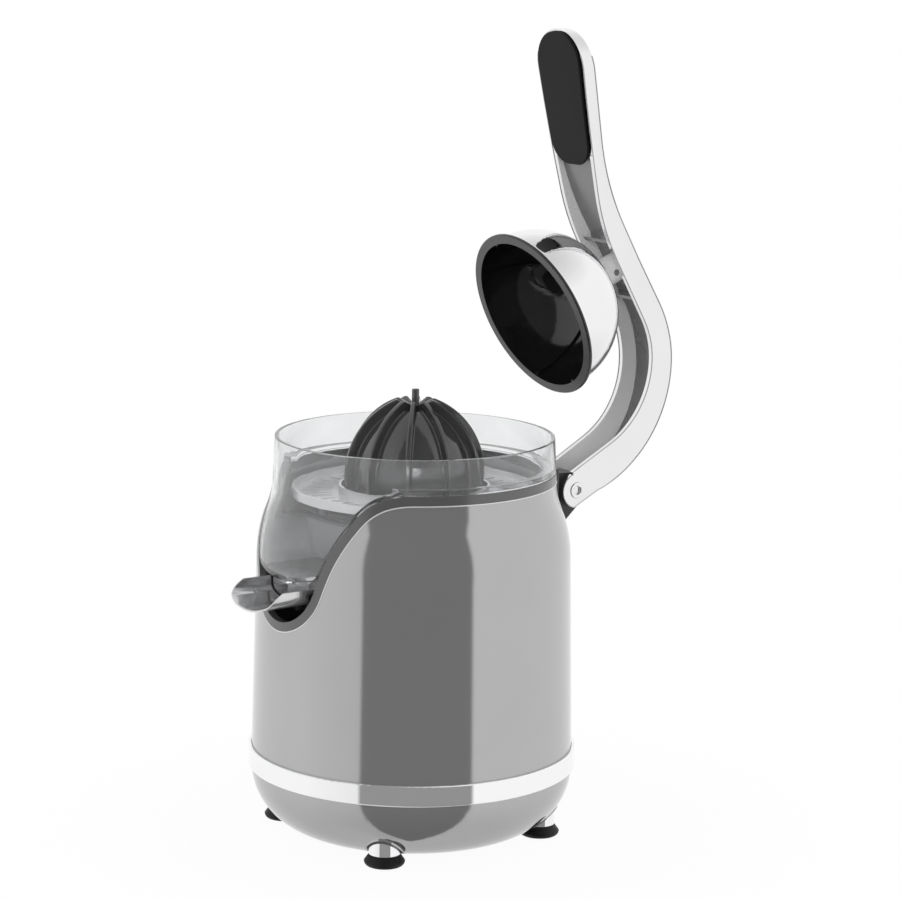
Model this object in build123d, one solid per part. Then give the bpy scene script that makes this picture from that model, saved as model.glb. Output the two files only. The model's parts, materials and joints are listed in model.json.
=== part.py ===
"""Electric citrus juicer with a lever press.

Millimetres. Z is the body's axis and z = 0 is the table. The spout looks to -Y, the lever's hinge is at +Y,
and the lever is modelled raised.
"""
from build123d import *
import math
import os

os.makedirs("parts", exist_ok=True)

# Clearances
fit_gap = 0.1            # between pieces that are assembled and stay put
running_gap = 0.05       # radial, between a journal and its bush
moving_gap = 0.3         # between faces that pass each other
overcut = 1.0            # how far a cutting shape runs past a face

# Body of revolution: radius at its foot, then the steps in and up to its shoulder, neck and the bowl's rim
body_foot_radius = 96.9
shoulder_step = 2.7
neck_step = 9.5
rim_step = 1.1
shoulder_z = 168.0
shoulder_rise = 47.0
bowl_rise = 26.7
shoulder_arc = 80.0      # radius of the convex half of the shoulder's S
shell_wall = 1.6

# Chrome band between shell and pan
band_low_z = 41.0
band_height = 12.6
band_wall = 1.8
band_rib_thickness = 1.0
band_rib_depth = 3.4
band_edge_round = 0.7

# Base pan, an elliptical curve from the band down to a flat floor
pan_floor_z = 4.0
pan_curve_out = 38.0
pan_curve_down = 38.5
pan_wall = 2.4
pan_floor_thickness = 4.4
pan_opening_radius = 46.0
cover_radius = 56.0
cover_thickness = 2.0
cover_slot_count = 10
cover_slot_width = 3.0
cover_slot_length = 22.0
cover_slot_radius = 26.0
cover_screw_count = 4
cover_screw_circle = 51.0
cover_screw_radius = 1.5
cover_screw_head_radius = 2.8
cover_screw_head_height = 1.0

# Feet: rubber buns under metal collars
foot_inset = 17.9        # of a foot's centre from the body's foot
foot_count = 4
foot_radius = 12.1
foot_wide_z = 2.8        # where the bun is widest
foot_base_radius = 10.2
foot_top_radius = 9.2
foot_height = 6.8
foot_lip = 1.6
foot_seat_z = 18.0       # the collar's top, inside the pan
foot_collar_radius = 9.4
foot_boss_wall = 2.6
foot_boss_top_z = 26.0
foot_brow_width = 1.7    # raised rim of the pan round a collar
foot_brow_rise = 0.9
foot_screw_radius = 2.0
foot_screw_head_radius = 3.6
foot_screw_head_height = 1.8
foot_screw_seat_z = 3.6
foot_screw_length = 21.0

# Cord gland in the back of the pan
gland_z = 26.0
gland_radius = 8.0
gland_bore_radius = 3.6
gland_length = 10.5
gland_sink = 0.4         # of its outer end behind the body's foot

# Cut-out in the front of the shell, in front view, and the strip along its edge
cut_depth = 81.3         # from the neck down
cut_bottom_radius = 36.5
cut_flank_lean = 20.4    # degrees from vertical
cut_shoulder_radius = 22.0
trim_width = 5.8
trim_depth = 4.6
trim_proud = 0.15

# Inner deck
deck_wall = 3.4
deck_skirt_depth = 63.0  # from the neck down
deck_floor_depth = 24.0
deck_floor_thickness = 3.0
niche_back_y = 50.0      # distance of the niche's back from the axis
niche_wall = 2.4
niche_flange = 1.8
collar_radius = 12.4
collar_bore_radius = 9.0
collar_height = 17.0
deck_boss_radius = 5.0

# Juice bowl
bowl_gap = 0.7           # between the clear front and the strip
bowl_seat_step = 5.7     # of the part inside the body, in from the neck
bowl_wall = 2.2
bowl_floor_gap = 2.0     # over the deck
bowl_ledge_rise = 9.0    # over the neck
apron_depth = 50.5       # from the neck down
apron_bottom_arc = 105.0
apron_corner_radius = 8.0
chimney_radius = 15.2
chimney_bore_radius = 13.0
chimney_height = 23.0
outlet_inset = 15.2      # of the outlet from the body's shoulder
outlet_bore_radius = 4.0
outlet_nozzle_radius = 5.6
outlet_nozzle_length = 4.3

# Strainer
strainer_gap = 6.0       # to the bowl's seat radius
strainer_inner_radius = 43.6
strainer_rise = 13.0     # over the bowl's floor
strainer_thickness = 1.6
strainer_rim_height = 4.0
strainer_collar_height = 4.6
strainer_slot_count = 40
strainer_slot_width = 2.2
strainer_slot_length = 17.0
strainer_leg_count = 3
strainer_leg_circle = 62.0
strainer_leg_radius = 3.0

# Reamer, which stands level with the strainer
reamer_base_radius = 41.0
reamer_height = 57.5
reamer_top_radius = 11.4
reamer_bulge_radius = 36.9
reamer_bulge_rise = 35.0
reamer_bulge_normal = 28.0  # degrees above level
reamer_crown_dip = 5.0   # of the fins' tops towards the pin
reamer_fin_count = 10
reamer_fin_turn = -3.5   # degrees
reamer_fin_thickness = 3.0
reamer_fin_depth = 6.0
reamer_wall = 2.6
reamer_skirt_height = 4.0
reamer_pin_radius = 2.2
reamer_pin_foot_radius = 2.7
reamer_pin_taper = 1.0
reamer_pin_height = 6.0  # over the fins
reamer_hub_radius = 8.5
reamer_hub_rise = 15.0

# Drive spindle
spindle_radius = 5.0
spindle_low_z = 127.0
spindle_square = 6.9     # across flats
spindle_hex = 8.4        # across flats
spindle_hex_height = 32.0
spindle_flange_z = 176.0
spindle_flange_radius = 17.0
spindle_flange_thickness = 2.0
spindle_travel = 3.0
drive_gap = 0.1          # between a driven flat and its socket, each side
seal_rise = 5.0          # over the deck
seal_height = 7.0

# Return spring round the spindle
spring_wire = 1.2
spring_mean_radius = 7.4
spring_turns = 3

# Gear train: output gear on the spindle, idler behind it, pinion on the motor
pressure_angle = 25.0
tooth_addendum = 0.8
tooth_dedendum = 1.05
tooth_backlash = 0.16
output_module = 1.0
output_teeth = 70
idler_pinion_teeth = 14
motor_module = 0.8
idler_gear_teeth = 60
motor_pinion_teeth = 12
motor_offset = 20.0      # motor axis to body axis
output_gear_z = 134.0
output_gear_height = 12.0
output_hub_radius = 7.0
output_shoulder_radius = 11.0
idler_gear_z = 123.0
idler_gear_height = 7.0
idler_axle_radius = 2.5
idler_hub_radius = 5.0

# Gearbox
gearbox_low_z = 118.0
gearbox_floor = 3.0
gearbox_joint_z = 150.0
gearbox_cover_thickness = 3.0
gearbox_wall = 3.0
gear_room = 2.0          # between tooth tips and the case
gearbox_lug_radius = 6.0
gearbox_front_lug = (43.2, -15.7)
gearbox_rear_lug = (31.0, 52.0)
gearbox_screw_radius = 2.0
gearbox_screw_head_radius = 4.0
gearbox_screw_head_height = 2.5
gearbox_screw_top_z = 170.0
hub_bush_radius = 9.5
hub_bush_height = 7.0
spindle_bush_radius = 8.5
spindle_bush_top_z = 167.0
spindle_boss_radius = 11.5

# Microswitch beside the spindle
switch_near_x = 12.2
switch_length = 14.0
switch_width = 10.0
switch_top_z = 171.0
plunger_x = 15.0
plunger_radius = 1.3
plunger_low_z = 166.0

# Motor
motor_radius = 36.0
motor_wall = 1.5
motor_low_z = 50.0
motor_end = 3.0
motor_cap_height = 5.0
motor_shaft_radius = 3.0
motor_shaft_low_z = 36.0
bearing_radius = 8.0
bearing_height = 5.0
rotor_radius = 23.3
rotor_gap = 0.6
stack_low_z = 64.0
stack_height = 34.0
winding_height = 7.0
winding_wall = 8.0
fan_radius = 30.0
fan_low_z = 37.5
fan_disc = 1.5
fan_height = 7.0
fan_blade_count = 9
fan_blade_thickness = 1.5
fan_hub_radius = 7.0
motor_screw_circle = 30.0
motor_screw_angles = (-60, 90, 180)
motor_screw_radius = 1.8
motor_screw_head_radius = 3.2
motor_screw_head_height = 1.5

# Spout
spout_width = 46.6
spout_depth = 13.6
spout_side_height = 7.0
spout_corner_radius = 7.0
spout_wall = 1.1
spout_gap = 2.5          # under the clear front
spout_length = 46.6
spout_lip = 11.5         # the part of it that is cut away in front
spout_reach = 22.4       # of its tip in front of the body's shoulder
spout_lip_rise = 1.6
spout_cut_arc = 26.0
spout_pivot_inset = 28.6  # from the tip
spout_pivot_drop = 4.0
spout_pin_radius = 1.5
spout_seal_inset = 30.8
spout_seal_width = 1.2
spout_seal_rise = 0.5
yoke_arm_thickness = 2.4
yoke_arm_height = 6.0
yoke_gap = 0.4

# Lever, raised: hinge, and the outline of its back and front seen from the side, as (y, z) from the hinge
hinge_back = 26.3        # behind the neck
hinge_drop = 16.0        # under the neck
cup_turn = 68.0          # degrees from raised to square over the reamer
arm_back_centre = (-8.7, 72.6)
arm_back_radius = 78.0
arm_back_start = -82.0   # degrees round the centre
arm_back_end = 31.0
arm_back_straight = 50.2  # heights, each from the one before it
arm_back_neck_rise = 50.0
arm_back_neck_y = 8.5
arm_back_top_y = -4.4
arm_front_centre = (-1.0, 75.5)
arm_front_radius = 55.0
arm_front_start = -61.3
arm_front_end = 30.0
arm_front_heel = (-3.5, 11.5)
arm_front_straight = 43.0  # heights, each from the one before it
arm_front_neck_rise = 36.0
arm_front_grip_rise = 82.0
arm_top_rise = 17.0
arm_front_neck_y = 7.5
arm_front_grip_y = -9.4
arm_front_top_y = -12.0
arm_hinge_width = 28.0
arm_waist_width = 34.0
arm_grip_width = 45.6
arm_foot_drop = 19.0     # under the hinge
arm_taper_rise = 15.0    # over the hinge, where the arm starts to widen
arm_waist_rise = 86.0    # over the hinge
arm_waist_length = 55.0
arm_wall = 3.2
arm_web = 4.5
arm_lug_radius = 10.5
arm_lug_cut_angle = -100.0  # degrees round the hinge, where the straight underside starts
arm_back_cut_angle = -72.0  # degrees round the back's centre, where it ends
channel_rise = 65.0      # over the bend in front
channel_corner = 9.0
channel_rib_thickness = 2.4
channel_rib_depth = 6.0
channel_rib_offset = 21.0
grip_thickness = 1.8
grip_margin = 2.2
grip_length = 80.4
grip_low_corner = 4.0    # narrower than half its foot
grip_top_margin = 1.6

# Hinge
tongue_width = 19.0
tongue_radius = 10.5
tongue_clearance = 2.0
tongue_drop = 4.0        # of its top under the bracket's top, at the face
tongue_rise = 3.0        # of its root over the bracket's foot
tongue_low_angle = 53.0  # degrees, where the round end meets the underside
bracket_width = 34.0
bracket_depth = 43.0     # from the neck down
bracket_top_drop = 0.5
bracket_back = 11.3      # behind the neck
bracket_foot_depth = 5.0
bracket_foot_height = 6.0
bracket_edge_round = 3.0
bracket_heel = (-4.9, -18.6)  # from the hinge
bracket_screw_x = 11.0
bracket_screw_rise = 4.5
bracket_screw_pitch = 7.5
bracket_screw_radius = 2.0
bracket_screw_head_radius = 3.4
bracket_screw_head_height = 3.0
backplate_thickness = 3.0
backplate_half_width = 20.0
backplate_margin = 1.0   # under the bracket's foot
backplate_height = 16.6
hinge_pin_radius = 4.0
hinge_head_radius = 5.0
hinge_head_height = 2.2
hinge_head_sink = 1.6
hinge_socket = 5.0       # across flats
hinge_socket_depth = 1.8
hinge_bush_wall = 1.5
hinge_washer_radius = 8.0

# Press cup, measured along its own axis from the rim plane
cup_rise = 9.0           # of the rim over the reamer's foot, when square over it
cup_rim_radius = 53.35
cup_mouth_radius = 47.5
cup_flange = 2.2
cup_rim_round = 0.9
cup_radius = 50.6
cup_straight = 3.0
cup_depth = 49.0
cup_flat_radius = 10.5
cup_wall = 1.0
cup_liner_wall = 1.4
cup_rib_count = 8
cup_rib_thickness = 1.6
cup_rib_height = 1.8
cup_rib_inner_radius = 14.0
cup_tilt = 3.0           # degrees either way
post_radius = 9.0
post_length = 32.0       # before the channel's back cuts it off
cup_pivot_rise = 13.0    # of the swivel pin over the cup's back
cup_pivot_radius = 2.0
stem_radius = 4.6
stem_flange_radius = 10.5
stem_flange_thickness = 1.4
stem_top_wall = 1.8
stem_screw_wall = 0.8
cup_screw_radius = 2.0
cup_screw_head_radius = 4.5
cup_screw_head_height = 1.2

# Sizes that follow from those above
reach = 140.0            # half size of the blocks that trim other shapes
body_shoulder_radius = body_foot_radius - shoulder_step
body_neck_radius = body_shoulder_radius - neck_step
bowl_rim_radius = body_neck_radius - rim_step
neck_z = shoulder_z + shoulder_rise
bowl_rim_z = neck_z + bowl_rise
gland_outer_y = body_foot_radius - gland_sink
gland_inner_y = gland_outer_y - gland_length
foot_circle = body_foot_radius - foot_inset
cut_bottom_z = neck_z - cut_depth
deck_skirt_z = neck_z - deck_skirt_depth
deck_floor_z = neck_z - deck_floor_depth
collar_top_z = deck_floor_z + collar_height
bowl_seat_radius = body_neck_radius - bowl_seat_step
bowl_floor_z = deck_floor_z + bowl_floor_gap
bowl_ledge_z = neck_z + bowl_ledge_rise
apron_bottom_z = neck_z - apron_depth
chimney_top_z = bowl_floor_z + chimney_height
outlet_y = body_shoulder_radius - outlet_inset
outlet_nozzle_z = apron_bottom_z - outlet_nozzle_length
strainer_radius = bowl_seat_radius - strainer_gap
strainer_z = bowl_floor_z + strainer_rise
reamer_base_z = strainer_z
reamer_top_z = reamer_base_z + reamer_height
reamer_bulge_z = reamer_base_z + reamer_bulge_rise
reamer_pin_top_z = reamer_top_z + reamer_pin_height
reamer_hub_z = reamer_base_z + reamer_hub_rise
spindle_hex_z = reamer_base_z
spindle_top_z = spindle_hex_z + spindle_hex_height
seal_low_z = deck_floor_z + seal_rise
spout_top_z = apron_bottom_z - spout_gap
spout_tip_y = body_shoulder_radius + spout_reach
spout_square_y = spout_tip_y - spout_lip
spout_back_y = spout_tip_y - spout_length
spout_pivot_y = spout_tip_y - spout_pivot_inset
spout_pivot_z = spout_top_z - spout_pivot_drop
spout_seal_y = spout_tip_y - spout_seal_inset
hinge_y = body_neck_radius + hinge_back
hinge_z = neck_z - hinge_drop
bracket_low_z = neck_z - bracket_depth
bracket_top_z = neck_z - bracket_top_drop
bracket_face_y = body_neck_radius + bracket_back
bracket_screw_heights = [bracket_low_z + bracket_screw_rise + i * bracket_screw_pitch for i in range(2)]
backplate_low_z = bracket_low_z - backplate_margin
backplate_top_z = backplate_low_z + backplate_height
arm_foot_z = hinge_z - arm_foot_drop
arm_taper_z = hinge_z + arm_taper_rise
arm_waist_low_z = hinge_z + arm_waist_rise
arm_waist_high_z = arm_waist_low_z + arm_waist_length
arm_front_lean = math.radians(arm_front_end)
arm_back_lean = math.radians(arm_back_end)
arm_front_bend_z = (
    hinge_z + arm_front_centre[1] + arm_front_radius * math.sin(arm_front_lean) + arm_front_straight)
arm_back_bend_z = hinge_z + arm_back_centre[1] + arm_back_radius * math.sin(arm_back_lean) + arm_back_straight
arm_front_neck_z = arm_front_bend_z + arm_front_neck_rise
arm_back_neck_z = arm_back_bend_z + arm_back_neck_rise
arm_front_grip_z = arm_front_neck_z + arm_front_grip_rise
arm_top_z = arm_front_grip_z + arm_top_rise
channel_top_z = arm_front_bend_z + channel_rise
grip_low_z = arm_top_z - grip_top_margin - grip_length
cup_low_z = reamer_base_z + cup_rise
band_mid_z = band_low_z + band_height / 2
shell_foot_z = band_mid_z + band_rib_thickness / 2
pan_top_z = band_mid_z - band_rib_thickness / 2
shoulder_turn = 2 * math.atan((body_shoulder_radius - body_neck_radius) / (neck_z - shoulder_z))
neck_arc = (neck_z - shoulder_z) / math.sin(shoulder_turn) - shoulder_arc
deck_inset = shell_wall + fit_gap
output_pitch = output_module * output_teeth / 2
idler_pinion_pitch = output_module * idler_pinion_teeth / 2
idler_pitch = motor_module * idler_gear_teeth / 2
motor_pitch = motor_module * motor_pinion_teeth / 2
idler_y = output_pitch + idler_pinion_pitch
motor_mesh = idler_pitch + motor_pitch
motor_y = (motor_offset ** 2 + idler_y ** 2 - motor_mesh ** 2) / (2 * idler_y)
motor_x = math.sqrt(motor_offset ** 2 - motor_y ** 2)
motor_axis = (motor_x, motor_y)
idler_axis = (0, idler_y)
gearbox_top_z = gearbox_joint_z + gearbox_cover_thickness
motor_top_z = gearbox_low_z
hinge_inner = arm_hinge_width / 2 - arm_wall
spindle_square_top_z = gearbox_joint_z + spindle_travel + moving_gap
cup_lean = math.radians(cup_tilt)
cup_pivot = cup_depth + cup_pivot_rise
stem_end = cup_pivot + cup_pivot_radius + stem_top_wall
cup_screw_end = cup_pivot - cup_pivot_radius - stem_screw_wall
post_start = cup_depth + stem_flange_thickness + stem_flange_radius * math.sin(cup_lean) + moving_gap
post_bore_radius = stem_radius / math.cos(cup_lean) + cup_pivot_rise * math.sin(cup_lean) + 3 * moving_gap
post_bore_end = stem_end + stem_radius * math.sin(cup_lean) + 3 * moving_gap
lugs = [(side * x, y) for x, y in (gearbox_front_lug, gearbox_rear_lug) for side in (-1, 1)]
foot_places = [
    (foot_circle * math.cos(math.radians(45 + i * 360 / foot_count)),
     foot_circle * math.sin(math.radians(45 + i * 360 / foot_count)))
    for i in range(foot_count)
]
raised = Pos(0, hinge_y, hinge_z) * Rot(-cup_turn, 0, 0) * Pos(0, -hinge_y, -hinge_z)


def disc(radius, low, high, at=(0, 0)):
    """Upright cylinder between two heights."""
    return Pos(at[0], at[1], (low + high) / 2) * Cylinder(radius, high - low)


def ring(outer, inner, low, high, at=(0, 0)):
    """Upright tube between two heights."""
    return disc(outer, low, high, at) - disc(inner, low, high, at)


def rod_x(radius, low, high, y, z):
    """Cylinder along X between two stations."""
    return Pos((low + high) / 2, y, z) * Rot(0, 90, 0) * Cylinder(radius, high - low)


def rod_y(radius, low, high, x, z):
    """Cylinder along Y between two stations."""
    return Pos(x, (low + high) / 2, z) * Rot(90, 0, 0) * Cylinder(radius, high - low)


def block(x, y, z):
    """Box from three (low, high) spans."""
    return Pos(sum(x) / 2, sum(y) / 2, sum(z) / 2) * Box(x[1] - x[0], y[1] - y[0], z[1] - z[0])


def turned(*edges):
    """Solid of revolution about Z from edges drawn as (radius, height)."""
    return revolve(Plane.XZ * make_face(edges), Axis.Z)


def turned_points(*points):
    """Solid of revolution about Z from a closed outline of straight lines."""
    return turned(*Polyline(*points, close=True).edges())


def prism(flats, low, high, sides):
    """Upright prism with a regular section, given across flats."""
    return extrude(Pos(0, 0, low) * RegularPolygon(flats / 2, sides, major_radius=False), high - low)


def polar(radius, angle):
    return (radius * math.cos(angle), radius * math.sin(angle))


def around(count, piece):
    """Copies of a piece spaced evenly about Z."""
    return [Rot(0, 0, i * 360 / count) * piece for i in range(count)]


def save(name, *solids):
    shape = solids[0] if len(solids) == 1 else Compound(children=list(solids))
    export_step(shape, f"parts/{name}.step")


def body_radius(z):
    """Outer radius of the body on the convex half of its shoulder."""
    return body_shoulder_radius - shoulder_arc + math.sqrt(shoulder_arc ** 2 - (z - shoulder_z) ** 2)


def body_solid(inset):
    """The whole outer form from the shell's foot to the bowl's rim, drawn in by an inset."""
    def on_shoulder(turn):
        radius = body_shoulder_radius - shoulder_arc * (1 - math.cos(turn)) - inset
        return (radius, shoulder_z + shoulder_arc * math.sin(turn))

    def on_neck(turn):
        radius = body_neck_radius + neck_arc * (1 - math.cos(turn)) - inset
        return (radius, neck_z - neck_arc * math.sin(turn))

    foot = (body_foot_radius - inset, shell_foot_z)
    rim = (bowl_rim_radius - inset, bowl_rim_z)
    return turned(
        Line((0, shell_foot_z), foot),
        Line(foot, on_shoulder(0)),
        ThreePointArc(on_shoulder(0), on_shoulder(shoulder_turn / 2), on_shoulder(shoulder_turn)),
        ThreePointArc(on_shoulder(shoulder_turn), on_neck(shoulder_turn / 2), on_neck(0)),
        Line(on_neck(0), rim),
        Line(rim, (0, bowl_rim_z)),
        Line((0, bowl_rim_z), (0, shell_foot_z)),
    )


def cut_face(inset):
    """Front view of everything above the cut-out's edge, drawn in by an inset."""
    lean = math.radians(cut_flank_lean)
    out = (math.cos(lean), -math.sin(lean))
    low_radius = cut_bottom_radius - inset
    high_radius = cut_shoulder_radius + inset
    low_centre_z = cut_bottom_z + cut_bottom_radius
    flank_low = (cut_bottom_radius * out[0], low_centre_z + cut_bottom_radius * out[1])
    rise = neck_z - cut_shoulder_radius * (1 - math.sin(lean)) - flank_low[1]
    high_centre = (
        flank_low[0] + rise * math.tan(lean) + cut_shoulder_radius * out[0],
        neck_z - cut_shoulder_radius,
    )
    mid = math.radians(90 + (90 - cut_flank_lean) / 2)
    top = neck_z + inset

    def side(sign):
        low = (sign * low_radius * out[0], low_centre_z + low_radius * out[1])
        high = (sign * (high_centre[0] - high_radius * out[0]), high_centre[1] - high_radius * out[1])
        bend_x, bend_z = polar(high_radius, mid)
        bend = (sign * (high_centre[0] + bend_x), high_centre[1] + bend_z)
        level = (sign * high_centre[0], top)
        return low, high, bend, level

    right, left = side(1), side(-1)
    return make_face([
        ThreePointArc(left[0], (0, low_centre_z - low_radius), right[0]),
        Line(right[0], right[1]),
        ThreePointArc(right[1], right[2], right[3]),
        Line(right[3], (reach, top)),
        Line((reach, top), (reach, bowl_rim_z + reach)),
        Line((reach, bowl_rim_z + reach), (-reach, bowl_rim_z + reach)),
        Line((-reach, bowl_rim_z + reach), (-reach, top)),
        Line((-reach, top), left[3]),
        ThreePointArc(left[3], left[2], left[1]),
        Line(left[1], left[0]),
    ])


def front_cut(inset):
    """The part of the cut-out's space in front of the axis."""
    return extrude(Plane.XZ * cut_face(inset), reach)


def above_cut(inset):
    """All space above the shell's edge, front and back."""
    behind = block((-reach, reach), (0, reach), (neck_z + inset, bowl_rim_z + reach))
    return front_cut(inset) + behind


def pan_solid(shrink, low):
    """The pan's outer form, or its inside when shrunk by the wall."""
    out = pan_curve_out - shrink
    down = pan_curve_down - shrink
    centre = (body_foot_radius - pan_curve_out, band_low_z)
    start = -math.degrees(math.asin((band_low_z - low) / down))
    curve = EllipticalCenterArc(centre, out, down, start, arc_size=-start)
    edge = (body_foot_radius - shrink, pan_top_z)
    return turned(
        Line((0, low), curve @ 0),
        curve,
        Line(curve @ 1, edge),
        Line(edge, (0, pan_top_z)),
        Line((0, pan_top_z), (0, low)),
    )


def make_base():
    hollow = pan_solid(pan_wall, pan_floor_z + pan_floor_thickness)
    pan = pan_solid(0, pan_floor_z) - hollow
    pan_outside = pan_solid(0, pan_floor_z)
    pan_brows = pan_solid(-foot_brow_rise, pan_floor_z)
    for place in foot_places:
        boss = disc(foot_collar_radius + foot_boss_wall, pan_floor_z, foot_boss_top_z, place)
        brow = disc(foot_collar_radius + foot_brow_width, pan_floor_z, foot_boss_top_z, place)
        pan = pan + (boss & pan_outside) + (brow & pan_brows)
    for place in foot_places:
        pan = pan - disc(foot_radius + moving_gap, 0, foot_height, place)
        pan = pan - disc(foot_collar_radius + fit_gap, 0, foot_seat_z, place)
        pan = pan - disc(foot_screw_radius + fit_gap, foot_seat_z, foot_boss_top_z, place)
    pan = pan - disc(pan_opening_radius, 0, pan_floor_z + 2 * pan_floor_thickness)
    pan = pan - disc(cover_radius + fit_gap, 0, pan_floor_z + cover_thickness)
    pan = pan - rod_y(gland_radius + fit_gap, gland_inner_y, reach, 0, gland_z)

    cover = disc(cover_radius, pan_floor_z, pan_floor_z + cover_thickness)
    slot = Pos(cover_slot_radius, 0, pan_floor_z) * extrude(
        SlotOverall(cover_slot_length, cover_slot_width), cover_thickness)
    for cut in around(cover_slot_count, slot):
        cover = cover - cut
    screws = []
    for i in range(cover_screw_count):
        place = polar(cover_screw_circle, math.tau * (i + 0.5) / cover_screw_count)
        head_top = pan_floor_z + cover_screw_head_height
        hole = disc(cover_screw_radius + fit_gap, 0, pan_floor_z + pan_floor_thickness, place)
        sink = disc(cover_screw_head_radius + fit_gap, 0, head_top, place)
        pan = pan - hole
        cover = cover - hole - sink
        shank = disc(cover_screw_radius, pan_floor_z, pan_floor_z + pan_floor_thickness, place)
        screws.append(shank + disc(cover_screw_head_radius, pan_floor_z, head_top, place))
    save("base_pan", pan)
    save("bottom_cover", cover)
    save("cover_screws", *screws)

    gland = rod_y(gland_radius, gland_inner_y, gland_outer_y, 0, gland_z)
    save("cord_gland", gland - rod_y(gland_bore_radius, gland_inner_y, gland_outer_y, 0, gland_z))


def make_feet():
    hole = foot_screw_radius + fit_gap
    head_room = foot_screw_head_radius + 4 * fit_gap
    recess_z = foot_screw_seat_z - foot_screw_head_height
    base = (foot_base_radius, 0)
    widest = (foot_radius, foot_wide_z)
    inside = Polyline(
        base, (foot_base_radius - foot_lip, 0), (head_room, recess_z), (head_room, foot_screw_seat_z),
        (hole, foot_screw_seat_z), (hole, foot_height), (foot_top_radius, foot_height), widest)
    bun = turned(*inside.edges(), TangentArc(widest, base, tangent=(0, -1)))
    collar = ring(foot_collar_radius, hole, foot_height, foot_seat_z)
    screw = disc(foot_screw_radius, foot_screw_seat_z, foot_screw_seat_z + foot_screw_length)
    screw = screw + disc(foot_screw_head_radius, recess_z, foot_screw_seat_z)
    for name, piece in (("suction_feet", bun), ("foot_collars", collar), ("foot_screws", screw)):
        save(name, *[Pos(x, y, 0) * piece for x, y in foot_places])


def make_shell():
    inner = body_foot_radius + fit_gap
    band = ring(inner + band_wall, inner, band_low_z, band_low_z + band_height)
    band = fillet(band.edges().filter_by(GeomType.CIRCLE).sort_by(SortBy.RADIUS)[-2:], band_edge_round)
    rib = ring(inner + band_wall / 2, inner - band_rib_depth, pan_top_z, shell_foot_z)
    save("trim_band", band + rib)

    shell = body_solid(0) - body_solid(shell_wall) - above_cut(0)
    for x in (-bracket_screw_x, bracket_screw_x):
        for z in bracket_screw_heights:
            shell = shell - rod_y(bracket_screw_radius + fit_gap, 0, reach, x, z)
    save("body_shell", shell)

    strip = above_cut(fit_gap) - above_cut(trim_width)
    trim = (body_solid(-trim_proud) - body_solid(trim_depth)) & strip
    save("edge_trim", trim)


def make_deck():
    outside = body_solid(deck_inset)
    floor_low = deck_floor_z - deck_floor_thickness
    inner = body_solid(deck_inset + deck_wall)
    wall = (outside - inner) & block((-reach, reach), (-reach, reach), (deck_skirt_z, neck_z))
    floor = outside & disc(reach, floor_low, deck_floor_z)
    behind_trim = body_solid(trim_depth + fit_gap)
    niche_space = block((-reach, reach), (-reach, -niche_back_y), (0, neck_z))
    niche_outer = front_cut(trim_width - niche_wall) & behind_trim
    niche_outer = niche_outer & block((-reach, reach), (-reach, niche_wall - niche_back_y), (0, deck_floor_z))
    flange = (front_cut(-niche_flange) & behind_trim) - body_solid(trim_depth + fit_gap + niche_wall)
    flange = flange & block((-reach, reach), (-reach, 0), (0, neck_z))
    deck = wall + floor + niche_outer + flange
    deck = deck - (front_cut(trim_width) & niche_space)
    deck = deck - (front_cut(0) - behind_trim)
    deck = deck - disc(bowl_seat_radius + moving_gap, deck_floor_z, neck_z + trim_width)
    deck = deck + disc(collar_radius, floor_low, collar_top_z)
    deck = deck - disc(collar_bore_radius, floor_low, collar_top_z)
    for lug in lugs:
        deck = deck + disc(deck_boss_radius, gearbox_top_z, floor_low, lug)
        deck = deck - disc(gearbox_screw_radius + fit_gap, gearbox_top_z, gearbox_screw_top_z + overcut, lug)
    for x in (-bracket_screw_x, bracket_screw_x):
        for z in bracket_screw_heights:
            deck = deck - rod_y(bracket_screw_radius + fit_gap, 0, reach, x, z)
    save("inner_deck", deck)
    seal_top = seal_low_z + seal_height
    save("spindle_seal", ring(collar_bore_radius, spindle_radius + running_gap, seal_low_z, seal_top))


def apron_prism(inset):
    """Front view of the bowl's clear front, extruded towards the front, with round lower corners."""
    bottom = apron_bottom_z + inset
    rounding = Pos(0, bottom + apron_bottom_arc - inset) * Circle(apron_bottom_arc - inset)
    face = cut_face(trim_width + bowl_gap + inset) & rounding
    solid = extrude(Plane.XZ * face, reach)
    corners = solid.edges().filter_by(Axis.Y).filter_by_position(Axis.Z, bottom, bottom + trim_width)
    return fillet(corners, apron_corner_radius - inset)


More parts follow.
